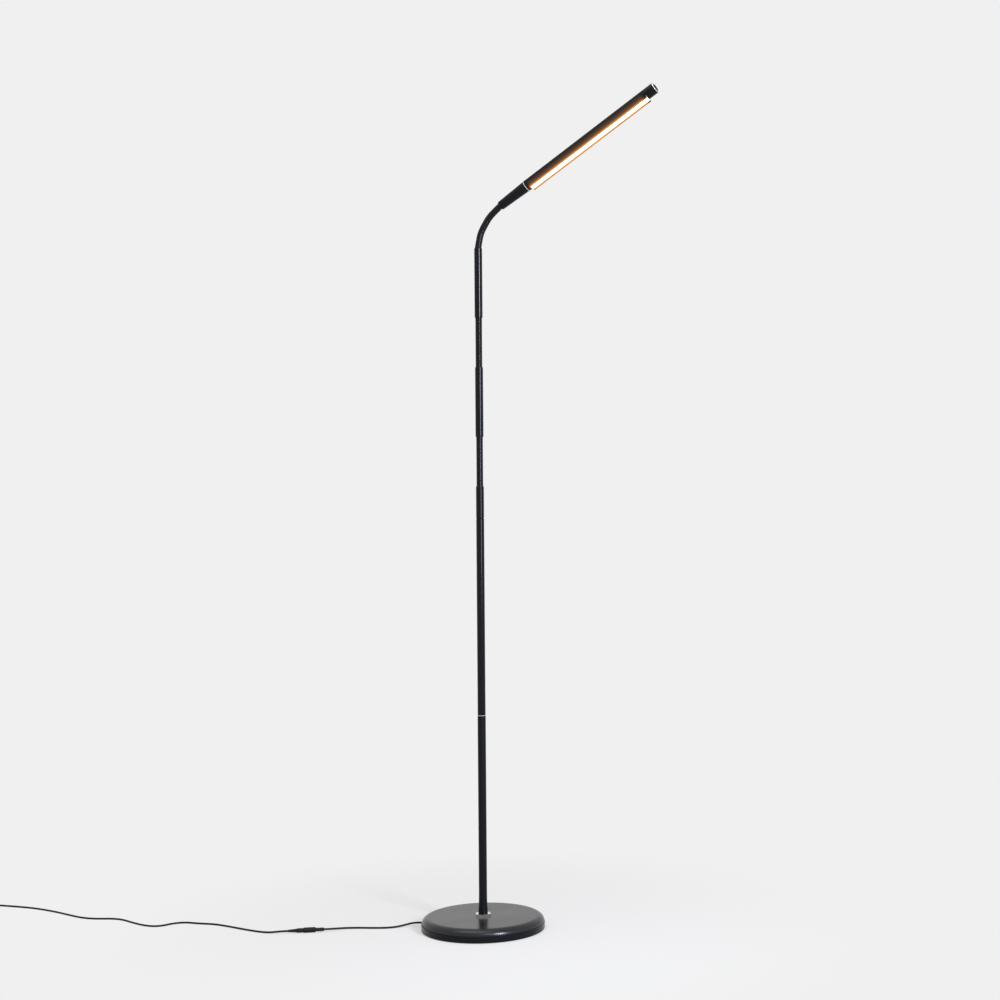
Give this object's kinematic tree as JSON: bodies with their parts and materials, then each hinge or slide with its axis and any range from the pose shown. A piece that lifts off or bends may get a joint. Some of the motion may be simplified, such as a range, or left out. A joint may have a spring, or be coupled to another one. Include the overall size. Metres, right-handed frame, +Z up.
{
  "type": "gooseneck reading floor lamp",
  "caption": "Slim free-standing reading floor lamp: round weighted base, straight pole, ribbed flexible necks between tubes, and a long narrow light bar with a push button on its tip.",
  "frame": {"origin": "on the floor, at the centre of the round base, under the pole's axis", "axes": "+Z up along the pole, +X to the right as seen in the picture, +Y away from the viewer"},
  "size_m": [1.3262, 0.3331, 1.4794],
  "materials": {
    "coated_steel": "satin black powder coat on steel",
    "neck_black": "satin black, ribbed gooseneck links",
    "neck_fitting": "satin black, end pieces of the gooseneck",
    "coated_aluminium": "satin black coated aluminium",
    "bright_nickel": "bright nickel plate",
    "plated_steel": "zinc plated steel",
    "bright_ring": "bright turned aluminium",
    "dark_coupler": "black anodised aluminium",
    "cast_weight": "raw cast iron, hidden",
    "soft_pad": "black foam pad",
    "moulded_black": "moulded black plastic",
    "cord_jacket": "black flexible jacket",
    "opal_diffuser": "opal acrylic, lit from inside",
    "circuit_board": "white circuit board",
    "phosphor": "yellow phosphor of the light diodes",
    "blade_metal": "nickel plated brass blades"
  },
  "bodies": {
    "base": {"base_cover": "coated_steel", "base_tray": "coated_steel", "foot_pad": "soft_pad", "base_weight": "cast_weight", "tray_screws": "plated_steel", "base_stud": "plated_steel", "under_nut": "plated_steel", "stud_washer": "plated_steel", "pole_nut": "bright_nickel", "cord_grommet": "moulded_black", "lower_pole": "coated_steel", "pole_coupler": "bright_ring", "upper_pole": "coated_steel", "top_coupler": "dark_coupler", "neck_base_tube": "coated_steel", "neck_base_fitting": "neck_fitting", "inner_lead": "cord_jacket", "base_cord": "cord_jacket", "dc_socket": "moulded_black", "dc_plug": "moulded_black", "supply_cord": "cord_jacket", "cord_coil": "cord_jacket", "coil_tie": "moulded_black", "adapter_cord": "cord_jacket", "adapter_relief": "moulded_black", "adapter_body": "moulded_black", "adapter_pins": "blade_metal"},
    "lower_link_1": {"lower_neck_1": "neck_black"},
    "lower_link_2": {"lower_neck_2": "neck_black"},
    "lower_link_3": {"lower_neck_3": "neck_black"},
    "lower_link_4": {"lower_neck_4": "neck_black"},
    "lower_link_5": {"lower_neck_5": "neck_black"},
    "middle_tube": {"middle_tube": "coated_steel", "middle_fittings": "neck_fitting"},
    "middle_link_1": {"middle_neck_1": "neck_black"},
    "middle_link_2": {"middle_neck_2": "neck_black"},
    "middle_link_3": {"middle_neck_3": "neck_black"},
    "middle_link_4": {"middle_neck_4": "neck_black"},
    "middle_link_5": {"middle_neck_5": "neck_black"},
    "upper_tube": {"upper_tube": "coated_steel", "upper_fittings": "neck_fitting"},
    "upper_link_1": {"upper_neck_1": "neck_black"},
    "upper_link_2": {"upper_neck_2": "neck_black"},
    "upper_link_3": {"upper_neck_3": "neck_black"},
    "upper_link_4": {"upper_neck_4": "neck_black"},
    "upper_link_5": {"upper_neck_5": "neck_black"},
    "upper_link_6": {"upper_neck_6": "neck_black"},
    "upper_link_7": {"upper_neck_7": "neck_black"},
    "upper_link_8": {"upper_neck_8": "neck_black"},
    "head": {"head_fitting": "neck_fitting", "head_ferrule": "coated_aluminium", "head_ring": "bright_ring", "head_shell": "coated_aluminium", "led_board": "circuit_board", "led_chips": "phosphor", "diffuser": "opal_diffuser", "head_cap": "coated_aluminium", "switch_body": "moulded_black", "switch_bezel": "bright_ring"},
    "button": {"push_button": "moulded_black"}
  },
  "joints": [
    {"name": "lower_neck_side_1", "type": "hinge", "parent": "base", "child": "lower_link_1", "pos_m": [0, 0, 0.79044], "axis": [0, 1, 0], "range_deg": [-20, 20], "deforming": ["inner_lead"]},
    {"name": "lower_neck_fore_1", "type": "hinge", "parent": "lower_link_1", "child": "lower_link_2", "pos_m": [0, 0, 0.80834], "axis": [1, 0, 0], "range_deg": [-20, 20]},
    {"name": "lower_neck_side_2", "type": "hinge", "parent": "lower_link_2", "child": "lower_link_3", "pos_m": [0, 0, 0.82624], "axis": [0, 1, 0], "range_deg": [-20, 20]},
    {"name": "lower_neck_fore_2", "type": "hinge", "parent": "lower_link_3", "child": "lower_link_4", "pos_m": [0, 0, 0.84056], "axis": [1, 0, 0], "range_deg": [-20, 20]},
    {"name": "lower_neck_side_3", "type": "hinge", "parent": "lower_link_4", "child": "lower_link_5", "pos_m": [0, 0, 0.85846], "axis": [0, 1, 0], "range_deg": [-20, 20]},
    {"name": "lower_neck_fore_3", "type": "hinge", "parent": "lower_link_5", "child": "middle_tube", "pos_m": [0, 0, 0.87636], "axis": [1, 0, 0], "range_deg": [-20, 20]},
    {"name": "middle_neck_side_1", "type": "hinge", "parent": "middle_tube", "child": "middle_link_1", "pos_m": [0, 0, 1.00304], "axis": [0, 1, 0], "range_deg": [-20, 20]},
    {"name": "middle_neck_fore_1", "type": "hinge", "parent": "middle_link_1", "child": "middle_link_2", "pos_m": [0, 0, 1.02094], "axis": [1, 0, 0], "range_deg": [-20, 20]},
    {"name": "middle_neck_side_2", "type": "hinge", "parent": "middle_link_2", "child": "middle_link_3", "pos_m": [0, 0, 1.03884], "axis": [0, 1, 0], "range_deg": [-20, 20]},
    {"name": "middle_neck_fore_2", "type": "hinge", "parent": "middle_link_3", "child": "middle_link_4", "pos_m": [0, 0, 1.05316], "axis": [1, 0, 0], "range_deg": [-20, 20]},
    {"name": "middle_neck_side_3", "type": "hinge", "parent": "middle_link_4", "child": "middle_link_5", "pos_m": [0, 0, 1.07106], "axis": [0, 1, 0], "range_deg": [-20, 20]},
    {"name": "middle_neck_fore_3", "type": "hinge", "parent": "middle_link_5", "child": "upper_tube", "pos_m": [0, 0, 1.08896], "axis": [1, 0, 0], "range_deg": [-20, 20]},
    {"name": "upper_neck_bend_1", "type": "hinge", "parent": "upper_tube", "child": "upper_link_1", "pos_m": [0, 0, 1.21564], "axis": [0.342, 0.9397, 0], "range_deg": [-27, 8]},
    {"name": "upper_neck_swing_1", "type": "hinge", "parent": "upper_link_1", "child": "upper_link_2", "pos_m": [0.002, -0.00073, 1.22617], "axis": [0.9211, -0.3353, -0.1979], "range_deg": [-20, 20]},
    {"name": "upper_neck_bend_2", "type": "hinge", "parent": "upper_link_2", "child": "upper_link_3", "pos_m": [0.00399, -0.00145, 1.2367], "axis": [0.342, 0.9397, 0], "range_deg": [-27, 8]},
    {"name": "upper_neck_bend_3", "type": "hinge", "parent": "upper_link_3", "child": "upper_link_4", "pos_m": [0.00791, -0.00288, 1.24659], "axis": [0.342, 0.9397, 0], "range_deg": [-27, 8]},
    {"name": "upper_neck_swing_2", "type": "hinge", "parent": "upper_link_4", "child": "upper_link_5", "pos_m": [0.01333, -0.00485, 1.25565], "axis": [0.7928, -0.2885, -0.5369], "range_deg": [-20, 20]},
    {"name": "upper_neck_bend_4", "type": "hinge", "parent": "upper_link_5", "child": "upper_link_6", "pos_m": [0.01875, -0.00682, 1.26472], "axis": [0.342, 0.9397, 0], "range_deg": [-27, 8]},
    {"name": "upper_neck_bend_5", "type": "hinge", "parent": "upper_link_6", "child": "upper_link_7", "pos_m": [0.02552, -0.00929, 1.27268], "axis": [0.342, 0.9397, 0], "range_deg": [-27, 8]},
    {"name": "upper_neck_swing_3", "type": "hinge", "parent": "upper_link_7", "child": "upper_link_8", "pos_m": [0.03325, -0.0121, 1.27958], "axis": [0.6039, -0.2198, -0.7662], "range_deg": [-20, 20]},
    {"name": "upper_neck_bend_6", "type": "hinge", "parent": "upper_link_8", "child": "head", "pos_m": [0.04098, -0.01492, 1.28649], "axis": [0.342, 0.9397, 0], "range_deg": [-27, 8]},
    {"name": "button_press", "type": "slide", "parent": "head", "child": "button", "axis": [-0.796, 0.2897, -0.5314], "range_m": [0, 0.0012], "stiffness_N_per_m": 1200, "springref_m": -0.001}
  ],
  "couplings": [
    {"joint": "lower_neck_side_2", "follows": "lower_neck_side_1", "ratio": 1},
    {"joint": "lower_neck_fore_2", "follows": "lower_neck_fore_1", "ratio": 1},
    {"joint": "lower_neck_side_3", "follows": "lower_neck_side_1", "ratio": 1},
    {"joint": "lower_neck_fore_3", "follows": "lower_neck_fore_1", "ratio": 1},
    {"joint": "middle_neck_side_2", "follows": "middle_neck_side_1", "ratio": 1},
    {"joint": "middle_neck_fore_2", "follows": "middle_neck_fore_1", "ratio": 1},
    {"joint": "middle_neck_side_3", "follows": "middle_neck_side_1", "ratio": 1},
    {"joint": "middle_neck_fore_3", "follows": "middle_neck_fore_1", "ratio": 1},
    {"joint": "upper_neck_bend_2", "follows": "upper_neck_bend_1", "ratio": 1},
    {"joint": "upper_neck_bend_3", "follows": "upper_neck_bend_1", "ratio": 1},
    {"joint": "upper_neck_swing_2", "follows": "upper_neck_swing_1", "ratio": 1},
    {"joint": "upper_neck_bend_4", "follows": "upper_neck_bend_1", "ratio": 1},
    {"joint": "upper_neck_bend_5", "follows": "upper_neck_bend_1", "ratio": 1},
    {"joint": "upper_neck_swing_3", "follows": "upper_neck_swing_1", "ratio": 1},
    {"joint": "upper_neck_bend_6", "follows": "upper_neck_bend_1", "ratio": 1}
  ]
}
